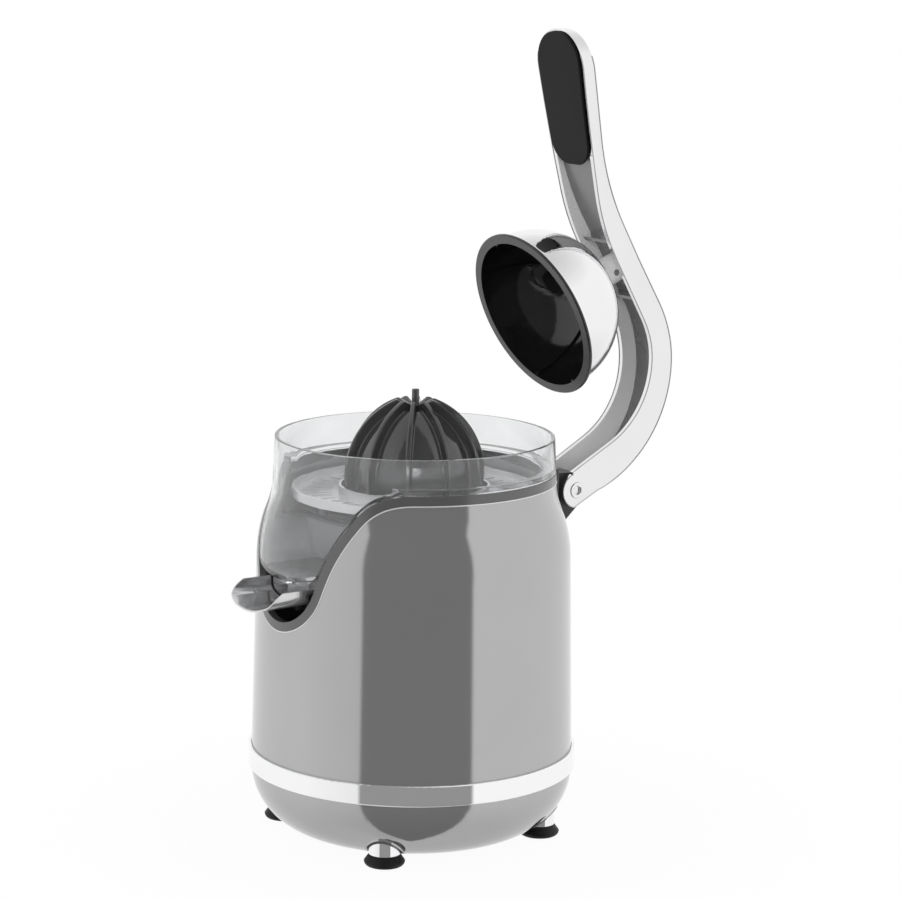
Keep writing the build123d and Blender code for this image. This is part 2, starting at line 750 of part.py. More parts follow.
def make_bowl():
    front = block((-reach, reach), (-reach, -niche_back_y - bowl_gap), (0, bowl_rim_z))
    front_inside = block((-reach, reach), (-reach, -niche_back_y - bowl_gap - bowl_wall), (0, bowl_rim_z))
    rest_z = neck_z + trim_width + fit_gap
    upper = body_solid(0) & disc(reach, rest_z, bowl_rim_z)
    bowl = disc(bowl_seat_radius, bowl_floor_z, rest_z) + upper
    bowl = bowl + (body_solid(0) & apron_prism(0) & front)
    inside = body_solid(bowl_wall) & disc(reach, bowl_ledge_z, bowl_rim_z)
    inside = inside + disc(bowl_seat_radius - bowl_wall, bowl_floor_z + bowl_wall, bowl_ledge_z)
    inside = inside + (body_solid(bowl_wall) & apron_prism(bowl_wall) & front_inside)
    bowl = bowl - inside
    bowl = bowl + disc(chimney_radius, bowl_floor_z, chimney_top_z)
    bowl = bowl - disc(chimney_bore_radius, bowl_floor_z, chimney_top_z)
    outlet = (0, -outlet_y)
    bowl = bowl + disc(outlet_nozzle_radius, outlet_nozzle_z, apron_bottom_z + bowl_wall, outlet)
    bowl = bowl - disc(outlet_bore_radius, outlet_nozzle_z, apron_bottom_z + bowl_wall, outlet)
    save("juice_bowl", bowl)

    top = strainer_z + strainer_thickness
    strainer = ring(strainer_radius, strainer_inner_radius, strainer_z, top)
    rim = ring(strainer_radius, strainer_radius - strainer_thickness, strainer_z, top + strainer_rim_height)
    collar_outer = strainer_inner_radius + strainer_thickness
    collar = ring(collar_outer, strainer_inner_radius, strainer_z, top + strainer_collar_height)
    strainer = strainer + rim + collar
    slot_radius = (strainer_radius + strainer_inner_radius) / 2
    slot = Pos(slot_radius, 0, strainer_z) * extrude(
        SlotOverall(strainer_slot_length, strainer_slot_width), strainer_thickness)
    strainer = strainer - Compound(children=around(strainer_slot_count, slot))
    leg = disc(strainer_leg_radius, bowl_floor_z + bowl_wall, strainer_z, (0, strainer_leg_circle))
    for piece in around(strainer_leg_count, leg):
        strainer = strainer + piece
    save("strainer", strainer)


def reamer_profile(shrink, dip):
    """Outer curve of the fins, or the core between them when shrunk, with a top that dips to the middle."""
    foot = (reamer_base_radius - shrink, reamer_base_z)
    rise = reamer_top_z - reamer_base_z - shrink
    top = (reamer_top_radius, reamer_base_z + rise)
    inwards = polar(-shrink, math.radians(reamer_bulge_normal))
    bend = (reamer_bulge_radius + inwards[0], reamer_bulge_z + inwards[1])
    return [
        Line((0, reamer_base_z), foot),
        ThreePointArc(foot, bend, top),
        Line(top, (0, top[1] - dip)),
        Line((0, top[1] - dip), (0, reamer_base_z)),
    ]


def make_reamer():
    core = turned(*reamer_profile(reamer_fin_depth, 0))
    half = Plane.XZ * make_face(reamer_profile(0, reamer_crown_dip))
    fin = extrude(half, reamer_fin_thickness / 2, both=True)
    reamer = core
    for piece in around(reamer_fin_count, fin):
        reamer = reamer + Rot(0, 0, reamer_fin_turn) * piece
    reamer = reamer + disc(reamer_base_radius, reamer_base_z, reamer_base_z + reamer_skirt_height)
    reamer = reamer - turned(*reamer_profile(reamer_fin_depth + reamer_wall, 0))
    hub_top = reamer_top_z - reamer_fin_depth - reamer_wall
    reamer = reamer + disc(reamer_hub_radius, reamer_hub_z, hub_top)
    socket_top = spindle_top_z + 2 * fit_gap
    reamer = reamer - prism(spindle_hex + 2 * drive_gap, reamer_hub_z, socket_top, 6)
    pin_low = hub_top + reamer_wall
    pin_foot = reamer_top_z - reamer_crown_dip + reamer_pin_taper
    pin = turned_points(
        (0, pin_low), (reamer_pin_foot_radius, pin_low), (reamer_pin_foot_radius, pin_foot),
        (reamer_pin_radius, pin_foot + reamer_pin_taper), (reamer_pin_radius, reamer_pin_top_z),
        (0, reamer_pin_top_z),
    )
    save("reamer", reamer + pin)


def make_spindle():
    spindle = disc(spindle_radius, spindle_square_top_z, spindle_hex_z)
    spindle = spindle + prism(spindle_square, spindle_low_z, spindle_square_top_z, 4)
    spindle = spindle + prism(spindle_hex, spindle_hex_z, spindle_top_z, 6)
    flange_top = spindle_flange_z + spindle_flange_thickness
    spindle = spindle + disc(spindle_flange_radius, spindle_flange_z, flange_top)
    save("drive_spindle", spindle)

    low = spindle_bush_top_z + spring_wire / 2 + fit_gap
    high = spindle_flange_z - spring_wire / 2 - fit_gap
    quarters = 4 * spring_turns

    def on_coil(step):
        angle = step * math.pi / 2
        x, y = polar(spring_mean_radius, angle)
        return (x, y, low + (high - low) * step / quarters)

    arcs = [ThreePointArc(on_coil(i), on_coil(i + 0.5), on_coil(i + 1)) for i in range(quarters)]
    path = Wire(arcs)
    section = Plane(origin=path @ 0, z_dir=path % 0) * Circle(spring_wire / 2)
    save("return_spring", sweep(section, path=path))
    print("least gap between the return spring's turns", round((high - low) / spring_turns - spring_wire, 2))


def gear(teeth, module, low, high, turn):
    """Spur gear with a tooth pointing along +X, then turned by an angle in degrees."""
    pressure = math.radians(pressure_angle)
    pitch = teeth * module / 2
    base = pitch * math.cos(pressure)
    tip = pitch + tooth_addendum * module
    root = pitch - tooth_dedendum * module
    start = max(root, base)
    half_pitch_angle = (math.pi * module / 2 - tooth_backlash) / 2 / pitch

    def half_angle(radius):
        local = math.acos(min(1, base / radius))
        return half_pitch_angle + math.tan(pressure) - pressure - (math.tan(local) - local)

    edges = []
    for i in range(teeth):
        middle = math.tau * i / teeth
        after = middle + math.tau / teeth
        mid = (start + tip) / 2
        flanks = []
        for sign in (-1, 1):
            flanks.append([polar(r, middle + sign * half_angle(r)) for r in (start, mid, tip)])
        edges.append(ThreePointArc(*flanks[0]))
        edges.append(Line(flanks[0][2], flanks[1][2]))
        edges.append(ThreePointArc(*flanks[1]))
        foot = polar(root, middle + half_angle(start))
        next_foot = polar(root, after - half_angle(start))
        if start > root:
            edges.append(Line(flanks[1][0], foot))
            edges.append(Line(next_foot, polar(start, after - half_angle(start))))
        edges.append(Line(foot, next_foot))
    return extrude(Pos(0, 0, low) * Rot(0, 0, turn) * make_face(edges), high - low)


def make_gears():
    gear_top = output_gear_z + output_gear_height
    bush_top = gearbox_low_z + hub_bush_height
    output = gear(output_teeth, output_module, output_gear_z, gear_top, 90)
    output = output + disc(output_hub_radius, gearbox_low_z + moving_gap, gearbox_joint_z - moving_gap)
    output = output + disc(output_shoulder_radius, bush_top + moving_gap, output_gear_z)
    output = output - prism(spindle_square + 2 * drive_gap, gearbox_low_z, gearbox_joint_z, 4)
    save("output_gear", output)

    to_motor = math.degrees(math.atan2(motor_y - idler_y, motor_x))
    idler_top = gear_top + moving_gap
    big_top = idler_gear_z + idler_gear_height
    big = gear(idler_gear_teeth, motor_module, idler_gear_z, big_top, to_motor)
    small_turn = math.degrees(math.pi / idler_pinion_teeth - math.pi / 2)
    small = gear(idler_pinion_teeth, output_module, big_top, idler_top, small_turn)
    hub = disc(idler_hub_radius, gearbox_low_z + gearbox_floor + moving_gap, idler_gear_z)
    idler = big + small + hub - disc(idler_axle_radius + running_gap, gearbox_low_z, idler_top)
    save("idler_gear", Pos(*idler_axis) * idler)
    save("idler_axle", disc(idler_axle_radius, gearbox_low_z, gearbox_top_z, idler_axis))

    pinion_low = gearbox_low_z + gearbox_floor + moving_gap
    pinion_top = idler_gear_z + idler_gear_height + moving_gap
    pinion_turn = to_motor + math.degrees(math.pi + math.pi / motor_pinion_teeth)
    pinion = gear(motor_pinion_teeth, motor_module, pinion_low, pinion_top, pinion_turn)
    save("motor_pinion", Pos(*motor_axis) * (pinion - disc(motor_shaft_radius, pinion_low, pinion_top)))
    return pinion_top


def gearbox_face(extra):
    """Plan of the room round the gears, grown by a wall."""
    output_room = output_pitch + tooth_addendum * output_module + gear_room + extra
    idler_room = idler_pitch + tooth_addendum * motor_module + gear_room + extra
    return Circle(output_room) + Pos(*idler_axis) * Circle(idler_room)


def make_gearbox():
    floor_top = gearbox_low_z + gearbox_floor
    plan = gearbox_face(gearbox_wall)
    for lug in lugs:
        plan = plan + Pos(*lug) * Circle(gearbox_lug_radius)
    case = extrude(Pos(0, 0, gearbox_low_z) * plan, gearbox_joint_z - gearbox_low_z)
    case = case - extrude(Pos(0, 0, floor_top) * gearbox_face(0), gearbox_joint_z - floor_top)
    case = case - disc(hub_bush_radius, gearbox_low_z, floor_top)
    case = case - disc(idler_axle_radius, gearbox_low_z, floor_top, idler_axis)
    motor_tip = motor_pitch + tooth_addendum * motor_module
    case = case - disc(motor_tip + moving_gap, gearbox_low_z, floor_top, motor_axis)
    cover = extrude(Pos(0, 0, gearbox_joint_z) * plan, gearbox_cover_thickness)
    cover = cover + disc(spindle_boss_radius, gearbox_joint_z, spindle_bush_top_z)
    cover = cover - disc(spindle_bush_radius, gearbox_joint_z, spindle_bush_top_z)
    cover = cover - disc(idler_axle_radius, gearbox_joint_z, gearbox_top_z, idler_axis)
    screws = []
    for lug in lugs:
        hole = disc(gearbox_screw_radius + fit_gap, gearbox_low_z, gearbox_top_z, lug)
        case = case - hole
        cover = cover - hole
        head_low = gearbox_low_z - gearbox_screw_head_height
        screw = disc(gearbox_screw_radius, gearbox_low_z, gearbox_screw_top_z, lug)
        screws.append(screw + disc(gearbox_screw_head_radius, head_low, gearbox_low_z, lug))
    for angle in motor_screw_angles:
        x, y = polar(motor_screw_circle, math.radians(angle))
        place = (motor_x + x, motor_y + y)
        case = case - disc(motor_screw_radius + fit_gap, gearbox_low_z, floor_top, place)
    save("gearbox_case", case)
    save("gearbox_cover", cover)
    save("gearbox_screws", *screws)
    bore = output_hub_radius + running_gap
    save("hub_bush", ring(hub_bush_radius, bore, gearbox_low_z, gearbox_low_z + hub_bush_height))
    bore = spindle_radius + running_gap
    save("spindle_bush", ring(spindle_bush_radius, bore, gearbox_joint_z, spindle_bush_top_z))

    half = switch_width / 2
    far_x = switch_near_x + switch_length
    switch = block((switch_near_x, far_x), (-half, half), (gearbox_top_z, switch_top_z))
    hole_low = plunger_low_z - spindle_travel - moving_gap
    switch = switch - disc(plunger_radius + running_gap, hole_low, switch_top_z, (plunger_x, 0))
    save("microswitch", switch)
    save("switch_plunger", disc(plunger_radius, plunger_low_z, spindle_flange_z - fit_gap, (plunger_x, 0)))


def make_motor(pinion_top):
    inside = motor_radius - motor_wall
    cap_low = motor_top_z - motor_cap_height
    can = ring(motor_radius, inside, motor_low_z, cap_low, motor_axis)
    end_top = motor_low_z + motor_end
    can = can + ring(inside + motor_wall / 2, bearing_radius, motor_low_z, end_top, motor_axis)
    cap = ring(motor_radius, bearing_radius, cap_low, motor_top_z, motor_axis)
    screws = []
    floor_top = gearbox_low_z + gearbox_floor
    for angle in motor_screw_angles:
        x, y = polar(motor_screw_circle, math.radians(angle))
        place = (motor_x + x, motor_y + y)
        cap = cap - disc(motor_screw_radius + fit_gap, cap_low, motor_top_z, place)
        screw = disc(motor_screw_radius, cap_low, floor_top, place)
        head_top = floor_top + motor_screw_head_height
        screws.append(screw + disc(motor_screw_head_radius, floor_top, head_top, place))
    save("motor_can", can)
    save("motor_cap", cap)
    save("motor_screws", *screws)

    bore = motor_shaft_radius + running_gap
    low_bearing = ring(bearing_radius, bore, motor_low_z, motor_low_z + bearing_height, motor_axis)
    high_bearing = ring(bearing_radius, bore, motor_top_z - bearing_height, motor_top_z, motor_axis)
    save("motor_bearings", low_bearing, high_bearing)
    stack_top = stack_low_z + stack_height
    stator_bore = rotor_radius + rotor_gap
    save("stator_core", ring(inside, stator_bore, stack_low_z, stack_top, motor_axis))
    coil_outer = stator_bore + rotor_gap + winding_wall
    windings = [
        ring(coil_outer, stator_bore + rotor_gap, low, low + winding_height, motor_axis)
        for low in (stack_low_z - winding_height, stack_top)
    ]
    save("stator_windings", *windings)
    save("motor_rotor", ring(rotor_radius, motor_shaft_radius, stack_low_z, stack_top, motor_axis))
    save("motor_shaft", disc(motor_shaft_radius, motor_shaft_low_z, pinion_top, motor_axis))

    fan_top = fan_low_z + fan_height
    fan = disc(fan_radius, fan_low_z, fan_low_z + fan_disc) + disc(fan_hub_radius, fan_low_z, fan_top)
    half = fan_blade_thickness / 2
    blade = block((fan_hub_radius - overcut, fan_radius), (-half, half), (fan_low_z, fan_top))
    for piece in around(fan_blade_count, blade):
        fan = fan + piece
    fan = fan - disc(motor_shaft_radius, fan_low_z, fan_top)
    save("cooling_fan", Pos(*motor_axis) * fan)


def spout_section(inset, top):
    """Front view of the trough: straight sides and round corners on a shallow arc."""
    half = spout_width / 2 - inset
    side_z = spout_top_z - spout_side_height
    face = make_face([
        ThreePointArc((-half, side_z), (0, spout_top_z - spout_depth + inset), (half, side_z)),
        Line((half, side_z), (half, top)),
        Line((half, top), (-half, top)),
        Line((-half, top), (-half, side_z)),
    ])
    return fillet(face.vertices().sort_by(Axis.Y)[:2], spout_corner_radius - inset)


def make_spout():
    trough = extrude(Plane.XZ.offset(spout_back_y) * spout_section(0, spout_top_z), spout_length)
    hollow = extrude(
        Plane.XZ.offset(spout_back_y + spout_wall) * spout_section(spout_wall, spout_top_z + overcut), reach)
    trough = trough - hollow
    tip_z = spout_top_z - spout_depth + spout_lip_rise
    sweep_cut = make_face([
        RadiusArc((-spout_square_y, spout_top_z), (-spout_tip_y, tip_z), -spout_cut_arc),
        Line((-spout_tip_y, tip_z), (-reach, tip_z)),
        Line((-reach, tip_z), (-reach, spout_top_z + overcut)),
        Line((-reach, spout_top_z + overcut), (-spout_square_y, spout_top_z + overcut)),
        Line((-spout_square_y, spout_top_z + overcut), (-spout_square_y, spout_top_z)),
    ])
    trough = trough - extrude(Plane.YZ * sweep_cut, spout_width, both=True)
    half = spout_width / 2
    bore = spout_pin_radius + running_gap
    trough = trough - rod_x(bore, -spout_width, spout_width, -spout_pivot_y, spout_pivot_z)
    save("spout_trough", trough)

    seal_start = Plane.XZ.offset(spout_seal_y - spout_seal_width / 2)
    seal = extrude(seal_start * spout_section(spout_wall, spout_top_z - fit_gap), spout_seal_width)
    inside = spout_section(spout_wall + spout_seal_rise, spout_top_z + overcut)
    seal = seal - extrude(Plane.XZ.offset(spout_seal_y - spout_seal_width) * inside, 2 * spout_seal_width)
    save("spout_seal", seal)

    arm_low = half + yoke_gap
    arm_high = arm_low + yoke_arm_thickness
    arm_span = (spout_pivot_z - yoke_arm_height / 2, spout_pivot_z + yoke_arm_height / 2)
    yoke = block((-arm_high, arm_high), (-niche_back_y - yoke_arm_thickness, -niche_back_y), arm_span)
    pins = []
    for side in (-1, 1):
        span = tuple(sorted((side * arm_low, side * arm_high)))
        arm = block(span, (-spout_pivot_y, -niche_back_y), arm_span)
        arm = arm + rod_x(yoke_arm_height / 2, span[0], span[1], -spout_pivot_y, spout_pivot_z)
        yoke = yoke + arm
        pin = tuple(sorted((side * (half - spout_wall - spout_seal_rise), side * arm_high)))
        yoke = yoke - rod_x(spout_pin_radius, pin[0], pin[1], -spout_pivot_y, spout_pivot_z)
        pins.append(rod_x(spout_pin_radius, pin[0], pin[1], -spout_pivot_y, spout_pivot_z))
    save("spout_yoke", yoke)
    save("spout_pins", *pins)


def arm_side(back_inset, front_extra):
    """Side view of the arm with its back drawn in and its front grown, as (y, z)."""
    def along(point, lean, distance):
        return (point[0] + distance * math.cos(lean), point[1] + distance * math.sin(lean))

    def on_arc(centre, radius, degrees):
        x, y = polar(radius, math.radians(degrees))
        return (hinge_y + centre[0] + x, hinge_z + centre[1] + y)

    def straight(start, degrees, z):
        return (start[0] - (z - start[1]) * math.tan(math.radians(degrees)), z)

    def tangent(degrees):
        return (-math.sin(math.radians(degrees)), math.cos(math.radians(degrees)))

    back_low = on_arc(arm_back_centre, arm_back_radius - back_inset, arm_back_start)
    back_mid = on_arc(arm_back_centre, arm_back_radius - back_inset, (arm_back_start + arm_back_end) / 2)
    back_high = on_arc(arm_back_centre, arm_back_radius, arm_back_end)
    back_bend = along(straight(back_high, arm_back_end, arm_back_bend_z), arm_back_lean, -back_inset)
    back_neck = (hinge_y + arm_back_neck_y - back_inset, arm_back_neck_z)
    back_top = (hinge_y + arm_back_top_y - back_inset, arm_top_z)
    back_high = along(back_high, arm_back_lean, -back_inset)

    front_radius = arm_front_radius - front_extra
    front_low = on_arc(arm_front_centre, front_radius, arm_front_start)
    front_mid = on_arc(arm_front_centre, front_radius, (arm_front_start + arm_front_end) / 2)
    front_high = on_arc(arm_front_centre, arm_front_radius, arm_front_end)
    front_bend = along(straight(front_high, arm_front_end, arm_front_bend_z), arm_front_lean, -front_extra)
    front_neck = (hinge_y + arm_front_neck_y - front_extra, arm_front_neck_z)
    front_grip = (hinge_y + arm_front_grip_y - front_extra, arm_front_grip_z)
    front_top = (hinge_y + arm_front_top_y - front_extra, arm_top_z)
    front_high = along(front_high, arm_front_lean, -front_extra)
    heel = (hinge_y + arm_front_heel[0], hinge_z + arm_front_heel[1] + front_extra)

    neck_curve = TangentArc(front_bend, front_neck, tangent=tangent(arm_front_end))
    grip_curve = TangentArc(front_neck, front_grip, tangent=neck_curve % 1)
    return make_face([
        ThreePointArc(back_low, back_mid, back_high),
        Line(back_high, back_bend),
        TangentArc(back_bend, back_neck, tangent=tangent(arm_back_end)),
        Line(back_neck, back_top),
        Line(back_top, front_top),
        Line(front_top, front_grip),
        grip_curve,
        neck_curve,
        Line(front_bend, front_high),
        ThreePointArc(front_high, front_mid, front_low),
        Line(front_low, heel),
        Line(heel, back_low),
    ])


def arm_half_width(z):
    """Half the arm's width at a height, from straight runs between its stations."""
    stations = [
        (arm_foot_z, arm_hinge_width / 2), (arm_taper_z, arm_hinge_width / 2),
        (arm_waist_low_z, arm_waist_width / 2), (arm_waist_high_z, arm_waist_width / 2),
        (arm_top_z - arm_grip_width / 2, arm_grip_width / 2),
    ]
    for (low_z, low_half), (high_z, high_half) in zip(stations, stations[1:]):
        if z <= high_z:
            return low_half + (high_half - low_half) * (z - low_z) / (high_z - low_z)
    return arm_grip_width / 2


def arm_front(inset, low, top):
    """Front view of the arm between two heights, drawn in by an inset, as (x, z)."""
    levels = [arm_taper_z, arm_waist_low_z, arm_waist_high_z, arm_top_z - arm_grip_width / 2]
    heights = [low] + [z for z in levels if low < z < top] + [top]
    right = [(arm_half_width(z) - inset, z) for z in heights]
    left = [(-x, z) for x, z in reversed(right)]
    return make_face(Polyline(*right, *left, close=True))


def round_ends(face, low_round, top_round):
    """The same face with its lowest and highest corners rounded."""
    if low_round:
        face = fillet(face.vertices().sort_by(Axis.Y)[:2], low_round)
    return fillet(face.vertices().sort_by(Axis.Y)[-2:], top_round)


def channel_space():
    """The space inside the arm's channel, open to the front."""
    side = arm_side(arm_web, 0) + arm_side(arm_web, 2 * arm_web)
    front = round_ends(arm_front(arm_wall, arm_foot_z, channel_top_z), 0, channel_corner)
    return both_views(side, front)


def both_views(side, front):
    """The solid that has one outline from the side and another from the front."""
    across = extrude(Plane.YZ * side, arm_grip_width, both=True)
    return across & extrude(Plane.XZ * front, 2 * reach, both=True)


def make_arm():
    side = arm_side(0, 0)
    top_round = arm_grip_width / 2 - fit_gap
    front = round_ends(arm_front(0, arm_foot_z, arm_top_z), 0, top_round)
    arm = both_views(side, front)
    half = arm_hinge_width / 2
    space = channel_space()
    arm = arm + rod_x(arm_lug_radius, -half, half, hinge_y, hinge_z)
    lug_edge = polar(arm_lug_radius, math.radians(arm_lug_cut_angle))
    back_edge = polar(arm_back_radius, math.radians(arm_back_cut_angle))
    back_edge = (arm_back_centre[0] + back_edge[0], arm_back_centre[1] + back_edge[1])
    at_hinge = Plane.YZ * Pos(hinge_y, hinge_z)
    filled = at_hinge * make_face(Polyline((0, 0), lug_edge, back_edge, close=True))
    arm = arm + (extrude(filled, half, both=True) - extrude(filled, hinge_inner, both=True))
    low = lug_edge[1] - arm_lug_radius
    under = at_hinge * make_face(Polyline(
        lug_edge, back_edge, (back_edge[0], low), (lug_edge[0], low), close=True))
    arm = arm - extrude(under, arm_grip_width, both=True)
    arm = arm - space
    arm = arm - rod_x(tongue_radius + tongue_clearance, -hinge_inner, hinge_inner, hinge_y, hinge_z)
    arm = arm - rod_x(hinge_pin_radius, -half, half, hinge_y, hinge_z)
    sink = hinge_head_radius + fit_gap
    for low_x in (-2 * half, half - hinge_head_sink):
        arm = arm - rod_x(sink, low_x, low_x + half + hinge_head_sink, hinge_y, hinge_z)
    rib_face = arm_side(arm_web - fit_gap, 0) - arm_side(arm_web + channel_rib_depth, 0)
    rib_band = extrude(Plane.YZ * rib_face, arm_grip_width, both=True) & space
    for offset in (-channel_rib_offset, channel_rib_offset):
        slice_ = raised * block(
            (-reach, reach), (offset - channel_rib_thickness / 2, offset + channel_rib_thickness / 2),
            (cup_low_z, cup_low_z + reach))
        arm = arm + (rib_band & slice_)
    save("lever_arm", arm)

    outline = round_ends(
        arm_front(grip_margin, grip_low_z, arm_top_z - grip_top_margin),
        arm_half_width(grip_low_z) - grip_margin - grip_low_corner,
        arm_grip_width / 2 - grip_margin - grip_top_margin)
    save("grip_pad", both_views(arm_side(0, grip_thickness) - arm_side(0, 0), outline))


def make_hinge():
    top = (hinge_y, hinge_z + tongue_radius)
    under_y, under_z = polar(tongue_radius, -math.radians(tongue_low_angle))
    root_y = bracket_face_y - overcut
    tongue_face = make_face(Polyline(
        (root_y, bracket_top_z - tongue_drop), top, (hinge_y + tongue_radius, hinge_z),
        (hinge_y + under_y, hinge_z + under_z), (hinge_y + bracket_heel[0], hinge_z + bracket_heel[1]),
        (root_y, bracket_low_z + tongue_rise), close=True))
    half = tongue_width / 2
    tongue = extrude(Plane.YZ * tongue_face, half, both=True) & (
        rod_x(tongue_radius, -half, half, hinge_y, hinge_z)
        + block((-half, half), (0, hinge_y), (0, bowl_rim_z))
        + block((-half, half), (0, reach), (0, hinge_z + under_z)))
    tongue = tongue + rod_x(tongue_radius, -half, half, hinge_y, hinge_z)
    base_face = make_face(Polyline(
        (0, bracket_low_z), (bracket_face_y - bracket_foot_depth, bracket_low_z),
        (bracket_face_y, bracket_low_z + bracket_foot_height),
        (bracket_face_y, bracket_top_z), (0, bracket_top_z), close=True))
    base = extrude(Plane.YZ * base_face, bracket_width / 2, both=True)
    base = fillet(base.edges().filter_by(Axis.Z).group_by(Axis.Y)[-1], bracket_edge_round)
    bracket = base + tongue - body_solid(0)
    bracket = bracket & block((-reach, reach), (body_neck_radius / 2, 2 * reach), (0, bowl_rim_z))
    bracket = bracket - disc(body_neck_radius + trim_proud + fit_gap, neck_z - overcut, bowl_rim_z)
    bush_radius = hinge_pin_radius + hinge_bush_wall
    bracket = bracket - rod_x(bush_radius, -half, half, hinge_y, hinge_z)
    screws = []
    plate_inset = deck_inset + deck_wall + fit_gap
    plate_back = body_radius(backplate_top_z) - plate_inset - backplate_thickness
    screw_seat_y = math.sqrt(plate_back ** 2 - (bracket_screw_x + bracket_screw_head_radius) ** 2) - fit_gap
    screw_end_y = bracket_face_y - fit_gap
    for x in (-bracket_screw_x, bracket_screw_x):
        for z in bracket_screw_heights:
            bracket = bracket - rod_y(bracket_screw_radius + fit_gap, 0, screw_end_y, x, z)
            shank = rod_y(bracket_screw_radius, screw_seat_y, screw_end_y, x, z)
            head_low_y = screw_seat_y - bracket_screw_head_height
            screws.append(shank + rod_y(bracket_screw_head_radius, head_low_y, screw_seat_y, x, z))
    save("hinge_bracket", bracket)
    save("bracket_screws", *screws)
    plate = body_solid(plate_inset) - body_solid(plate_inset + backplate_thickness)
    plate = plate & block(
        (-backplate_half_width, backplate_half_width), (0, reach), (backplate_low_z, backplate_top_z))
    for x in (-bracket_screw_x, bracket_screw_x):
        for z in bracket_screw_heights:
            plate = plate - rod_y(bracket_screw_radius + fit_gap, 0, reach, x, z)
    save("hinge_backplate", plate)

    bushes, washers = [], []
    for side in (-1, 1):
        span = sorted((side * fit_gap, side * half))
        bush = rod_x(bush_radius, span[0], span[1], hinge_y, hinge_z)
        bushes.append(bush - rod_x(hinge_pin_radius + running_gap, span[0], span[1], hinge_y, hinge_z))
        span = sorted((side * (half + fit_gap), side * hinge_inner))
        washer = rod_x(hinge_washer_radius, span[0], span[1], hinge_y, hinge_z)
        washers.append(washer - rod_x(hinge_pin_radius, span[0], span[1], hinge_y, hinge_z))
    save("hinge_bushes", *bushes)
    save("hinge_washers", *washers)

    seat = arm_hinge_width / 2 - hinge_head_sink
    head = seat + hinge_head_height
    socket = Pos(head, hinge_y, hinge_z) * Rot(0, -90, 0) * extrude(
        RegularPolygon(hinge_socket / 2, 6, major_radius=False), hinge_socket_depth)
    bolt = rod_x(hinge_pin_radius, -seat, seat, hinge_y, hinge_z)
    bolt = bolt + rod_x(hinge_head_radius, seat, head, hinge_y, hinge_z) - socket
    nut = rod_x(hinge_head_radius, -head, -seat, hinge_y, hinge_z) - mirror(socket, about=Plane.YZ)
    save("hinge_bolt", bolt)
    save("hinge_nut", nut)


def cup_dome(shrink, low):
    """The cup's dome above a level, drawn in by an even wall, with its rim plane at cup_low_z."""
    radius = cup_radius - shrink
    curve_z = cup_low_z + cup_straight
    centre = (cup_flat_radius, curve_z)
    depth = cup_depth - cup_straight - shrink
    curve = EllipticalCenterArc(centre, radius - cup_flat_radius, depth, arc_size=math.degrees(math.pi / 2))
    return turned(
        Line((0, low), (radius, low)),
        Line((radius, low), curve @ 0),
        curve,
        Line(curve @ 1, (0, cup_low_z + cup_depth - shrink)),
        Line((0, cup_low_z + cup_depth - shrink), (0, low)),
    )


def make_cup():
    flange_z = cup_low_z + cup_flange
    back_z = cup_low_z + cup_depth
    shell = cup_dome(0, flange_z) - cup_dome(cup_wall, flange_z)
    lining = cup_wall + cup_liner_wall
    liner = cup_dome(cup_wall + fit_gap, flange_z)
    rim = fillet(disc(cup_rim_radius, cup_low_z, flange_z).edges().filter_by(GeomType.CIRCLE), cup_rim_round)
    hollow = cup_dome(lining, cup_low_z)
    ribs = []
    half = cup_rib_thickness / 2
    for i in range(cup_rib_count):
        rib = block((cup_rib_inner_radius, cup_radius), (-half, half), (flange_z, back_z))
        ribs.append(Rot(0, 0, (i + 0.5) * 360 / cup_rib_count) * rib)
    rib_ring = hollow - cup_dome(lining + cup_rib_height, cup_low_z)
    mouth = disc(cup_mouth_radius, cup_low_z, flange_z + cup_straight / 2)
    liner = liner + rim - (hollow - disc(reach, cup_low_z, flange_z)) - mouth
    for rib in ribs:
        liner = liner + (rib & rib_ring)
    hole = disc(cup_screw_radius + fit_gap, cup_low_z, back_z)
    save("cup_shell", raised * (shell - hole))
    save("cup_liner", raised * (liner - hole))

    stem = disc(stem_flange_radius, back_z, back_z + stem_flange_thickness)
    stem = stem + disc(stem_radius, back_z, cup_low_z + stem_end)
    stem = stem - disc(cup_screw_radius + fit_gap, back_z, cup_low_z + cup_screw_end)
    pivot_z = cup_low_z + cup_pivot
    stem = stem - rod_x(cup_pivot_radius + running_gap, -post_radius, post_radius, 0, pivot_z)
    save("cup_stem", raised * stem)
    head_z = back_z - lining - cup_screw_head_height
    screw = disc(cup_screw_radius, back_z - lining, cup_low_z + cup_screw_end)
    screw = screw + disc(cup_screw_head_radius, head_z, back_z - lining)
    save("cup_screw", raised * screw)

    post = disc(post_radius, cup_low_z + post_start, cup_low_z + post_start + post_length)
    post = post - disc(post_bore_radius, cup_low_z + post_start, cup_low_z + post_bore_end)
    post = post - rod_x(cup_pivot_radius, -post_radius, post_radius, 0, pivot_z)
    save("cup_post", (raised * post) & channel_space())
    pin = rod_x(cup_pivot_radius, -post_radius + fit_gap, post_radius - fit_gap, 0, pivot_z)
    save("cup_pivot_pin", raised * pin)


make_base()
make_feet()
make_shell()
make_deck()
make_bowl()
make_reamer()
make_spindle()
make_motor(make_gears())
make_gearbox()
make_spout()
make_arm()
make_hinge()
make_cup()
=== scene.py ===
# Citrus juicer with a lever press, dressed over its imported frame. Metres, body axis on Z, spout to -Y.
import json
import math

